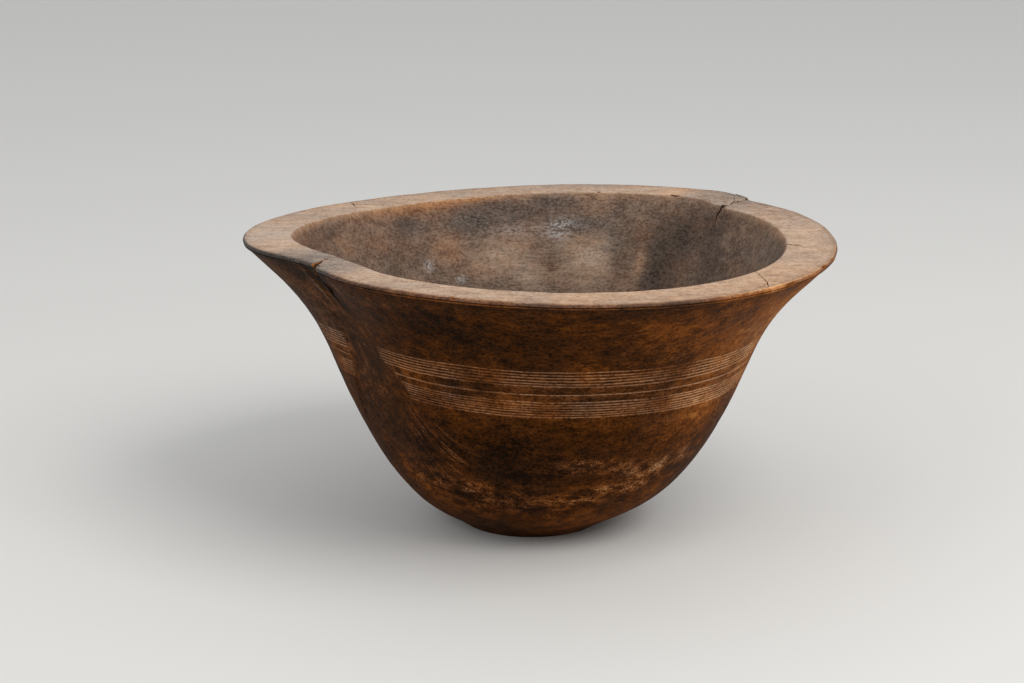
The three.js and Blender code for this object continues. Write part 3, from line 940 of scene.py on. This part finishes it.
def aged_wood(name, grain, roughness, gloss, relief, dust_colour):
    """Old hardwood: the painted tone and warmth, broken up by the wood's own grain and its wear."""
    material = bpy.data.materials.new(name)
    material.use_nodes = True
    tree = material.node_tree
    tree.nodes.clear()
    add = partial(add_node, tree)
    place = add("ShaderNodeTexCoord").outputs["Object"]
    tone, warmth, wear, dust, line, upright, scratched, around = (
        add("ShaderNodeAttribute", attribute_name=key).outputs["Fac"]
        for key in ("tone", "warmth", "wear", "dust", "line", "upright", "scratched", "round"))
    height = add("ShaderNodeSeparateXYZ", place).outputs["Z"]
    wall = add("ShaderNodeCombineXYZ", around, height)
    # tool marks start steep beside the channel and flatten out to its right
    past = add("SUBTRACT", around, radians(FAN_START) * WAIST_REACH)
    bend = add("MULTIPLY_ADD", past, FAN_FLATTENING, FAN_STEEPNESS)
    bent = add("MULTIPLY_ADD", bend, past, height)
    fan = add("ShaderNodeCombineXYZ", around, bent)
    patterns = {}
    # size of one feature along X, Y and Z, in metres, and how finely it breaks up
    for key, source, size, detail in (
        ("fibres", place, (0.036, 0.0011, 0.0011), 4),
        ("streaks", place, (0.08, 0.004, 0.004), 3),
        ("pores", place, (0.008, 0.0007, 0.0007), 1),
        ("blotches", place, (0.04, 0.034, 0.03), 5),
        ("mottle", place, (0.011, 0.008, 0.0055), 6),
        ("flecks", place, (0.0022, 0.0018, 0.0015), 4),
        ("risen", wall, (0.0018, 0.06, 1), 3),
        ("scored", fan, (0.03, 0.0024, 1), 2),
    ):
        sized = add("ShaderNodeMapping", source, None, None, size, vector_type="TEXTURE")
        patterns[key] = add("ShaderNodeTexNoise", sized, 1, detail, 0.66)
    # growth rings about 7 mm apart round the pith, which lay above and behind the bowl
    centred = add("ShaderNodeMapping", place, (0, -0.05, -0.3), None, (0.25, 1, 1))
    patterns["rings"] = add("ShaderNodeTexWave", centred, 46, 7, 3, 2, 0.6,
                            wave_type="RINGS", rings_direction="X")
    total = tone
    for key, amount in grain.items():
        level = add("SUBTRACT", patterns[key], 0.5)
        if key in ("risen", "fibres"):
            # fibres run along the block, but up the wall where it was pared
            share = upright if key == "risen" else add("SUBTRACT", 1, upright)
            level = add("MULTIPLY", level, share)
        total = add("MULTIPLY_ADD", level, amount, total)
    pores = add(RANGE, patterns["pores"], 0.58, 0.7)
    total = add("MULTIPLY_ADD", pores, -0.07, total)
    # worn patches show a fine net of paler wood, and old tool marks show as thin pale scores
    worn = add("SUBTRACT", patterns["flecks"], 0.5)
    worn = add("ABSOLUTE", worn)
    worn = add(RANGE, worn, 0.07, 0)
    patch = add(RANGE, patterns["mottle"], 0.38, 0.58)
    for share in (patch, wear):
        worn = add("MULTIPLY", worn, share)
    scores = add(RANGE, patterns["scored"], 0.51, 0.64)
    scores = add("MULTIPLY", scores, scratched)
    # the incised lines cut down to paler wood, here and there filled again with grease
    filled = add(RANGE, patterns["mottle"], 0.3, 0.62, 0.56, 0.3)
    for share, amount in ((worn, 0.42), (scores, 0.28), (line, filled)):
        total = add("MULTIPLY_ADD", share, amount, total)
    shades = []
    for colours in (DULL_WOOD, WARM_WOOD):
        ramp = add("ShaderNodeValToRGB", total)
        for position, text in zip((0.25, 0.5, 0.75), colours[1:4]):
            ramp.color_ramp.elements.new(position).color = colour(text)
        ramp.color_ramp.elements[0].color = colour(colours[0])
        ramp.color_ramp.elements[-1].color = colour(colours[-1])
        shades.append(ramp)
    # freshly bared wood is duller than the skin round it
    heat = warmth
    uneven = add("SUBTRACT", patterns["blotches"], 0.5)
    for share, amount in ((uneven, 0.9), (scores, -0.3), (worn, -0.1), (line, -0.38)):
        heat = add("MULTIPLY_ADD", share, amount, heat)
    heat.use_clamp = True
    wood = add("ShaderNodeMix", heat, *shades, data_type="RGBA")
    powder = add(RANGE, patterns["flecks"], 0.46, 0.6, 0.12, 1.1)
    powder = add("MULTIPLY", powder, dust, use_clamp=True)
    wood = add("ShaderNodeMix", powder, wood, colour(dust_colour), data_type="RGBA")
    rough = add("MULTIPLY_ADD", total, 0.25, roughness, use_clamp=True)
    # the grain stands proud, and pores and tool marks are sunk
    raised = patterns["mottle"]
    for share, amount in ((patterns["fibres"], 0.5), (patterns["flecks"], 0.4), (pores, -0.4), (scores, -0.3)):
        raised = add("MULTIPLY_ADD", share, amount, raised)
    bump = add("ShaderNodeBump", named={"Strength": 0.7, "Distance": relief, "Height": raised})
    shader = add("ShaderNodeBsdfPrincipled", named={
        "Base Color": wood, "Roughness": rough, "Specular IOR Level": gloss, "Normal": bump})
    add("ShaderNodeOutputMaterial", shader)
    return material


# Smoke and grease have closed the outside's pores: dark, mottled and satin
patina = aged_wood("smoke_darkened_hardwood", {
    "fibres": 0.26, "streaks": 0.12, "blotches": 0.4, "mottle": 0.46, "flecks": 0.76, "risen": 0.5, "rings": 0.02,
}, 0.5, 0.02, 0.0006, "#8f8880")
# The rim is rubbed back to bare wood, pale and dry, with plain grain
rim_wood = aged_wood("rubbed_bare_hardwood", {
    "fibres": 0.4, "streaks": 0.08, "blotches": 0.24, "mottle": 0.22, "flecks": 0.7, "rings": 0.02,
}, 0.45, 0.2, 0.0005, "#a8a29a")
# Milk and scouring have left the hollow grey brown and dull
hollow_wood = aged_wood("milk_soaked_hardwood", {
    "fibres": 0.26, "streaks": 0.14, "blotches": 0.38, "mottle": 0.28, "flecks": 0.5, "rings": 0.02,
}, 0.6, 0.1, 0.0007, "#a5a4a2")
# Split wood has no skin: orange at its edges, and painted shade makes it dark inside the crack
torn_wood = aged_wood("torn_hardwood", {
    "fibres": 0.5, "streaks": 0.2, "mottle": 0.3,
}, 0.7, 0.1, 0.0006, "#8f8880")

whole = made_by(aged_bowl_tree(), turned_blank(), {
    "Rim Diameter": RIM_DIAMETER, "Height": HEIGHT, "Line Width": LINE_WIDTH, "Line Depth": LINE_DEPTH,
    "Channel Depth": 0.0007, "Unevenness": 0.0009, "Seed": 3.0, "Material": patina,
}, "blank")
# the splinter's block reaches from the notch's floor to well above the rim
NOTCH_FLOOR = 0.1795
notch = splinter_block("notch", NOTCH_FLOOR, 0.2, 0)
split = cut(whole.copy(), [*wear_cutters(whole), notch], "DIFFERENCE", "split")
aim = Matrix.Rotation(radians(SPLINTER_ANGLE), 3, "Z") @ Vector((SPLINTER_OUTWARDS, 0, SPLINTER_PROUD))
raised = whole.copy()
raised.transform(Matrix.Translation(aim))
flake = cut(raised, [splinter_block("flake", NOTCH_FLOOR, 0.205, CLEARANCE)], "INTERSECT", "flake")

skin = shown(whole, "skin")
raised_skin = shown(raised, "raised_skin")
for name, mesh, old, node, slot in (
    ("milk_bowl", split, skin, "bowl_body", "patinated_wood"),
    ("rim_splinter", flake, raised_skin, "rear_rim_splinter", "bare_wood"),
):
    mesh = made_by(old_skin_tree(), mesh, {
        "Skin": old, "Torn Depth": TORN_DEPTH, "Outside": patina, "Rim": rim_wood, "Hollow": hollow_wood,
        "Torn": torn_wood,
    }, name)
    paint(mesh)
    mesh.shade_smooth()
    mesh.set_sharp_from_angle(angle=radians(42))
    mesh.transform(Matrix.Translation((*AXIS, 0)) @ Matrix.Diagonal((FIT, FIT, 1, 1)))
    piece = shown(mesh, name)
    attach(piece, "root")
    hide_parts(node)
for scrap in (skin, raised_skin):
    bpy.data.objects.remove(scrap)

# Floor, light and camera
floor_mesh = bpy.data.meshes.new("floor")
floor_mesh.from_pydata([(-6, -6, 0), (6, -6, 0), (6, 6, 0), (-6, 6, 0)], [], [(0, 1, 2, 3)])
floor = shown(floor_mesh, "floor")
floor_paint = bpy.data.materials.new("pale_floor_paint")
floor_paint.use_nodes = True
paint_sockets = floor_paint.node_tree.nodes["Principled BSDF"].inputs
paint_sockets["Base Color"].default_value = colour("#d9d6d0")
paint_sockets["Roughness"].default_value = 0.7
floor_mesh.materials.append(floor_paint)

world = bpy.data.worlds.new("studio")
world.use_nodes = True
sky = world.node_tree.nodes["Background"].inputs
sky["Color"].default_value = colour("#eef1f6")
sky["Strength"].default_value = 0.75
bpy.context.scene.world = world

for name, place, size, energy in (("key", (1.2, -1.1, 1.9), 1.5, 36), ("fill", (-1.6, -1.4, 1.2), 1.6, 10)):
    lamp = bpy.data.lights.new(name, "AREA")
    lamp.size = size
    lamp.energy = energy
    light = shown(lamp, name)
    light.location = place
    light.rotation_euler = (Vector((0, 0, 0.1)) - light.location).to_track_quat("-Z", "Y").to_euler()

camera_data = bpy.data.cameras.new("camera")
camera_data.lens = 85
camera_data.sensor_width = 36
camera = shown(camera_data, "camera")
camera.location = (-0.0173, -1.5099, 0.5085)
camera.rotation_euler = (radians(90 - 14.517), 0, 0)
bpy.context.scene.camera = camera
bpy.context.scene.view_settings.view_transform = "Standard"
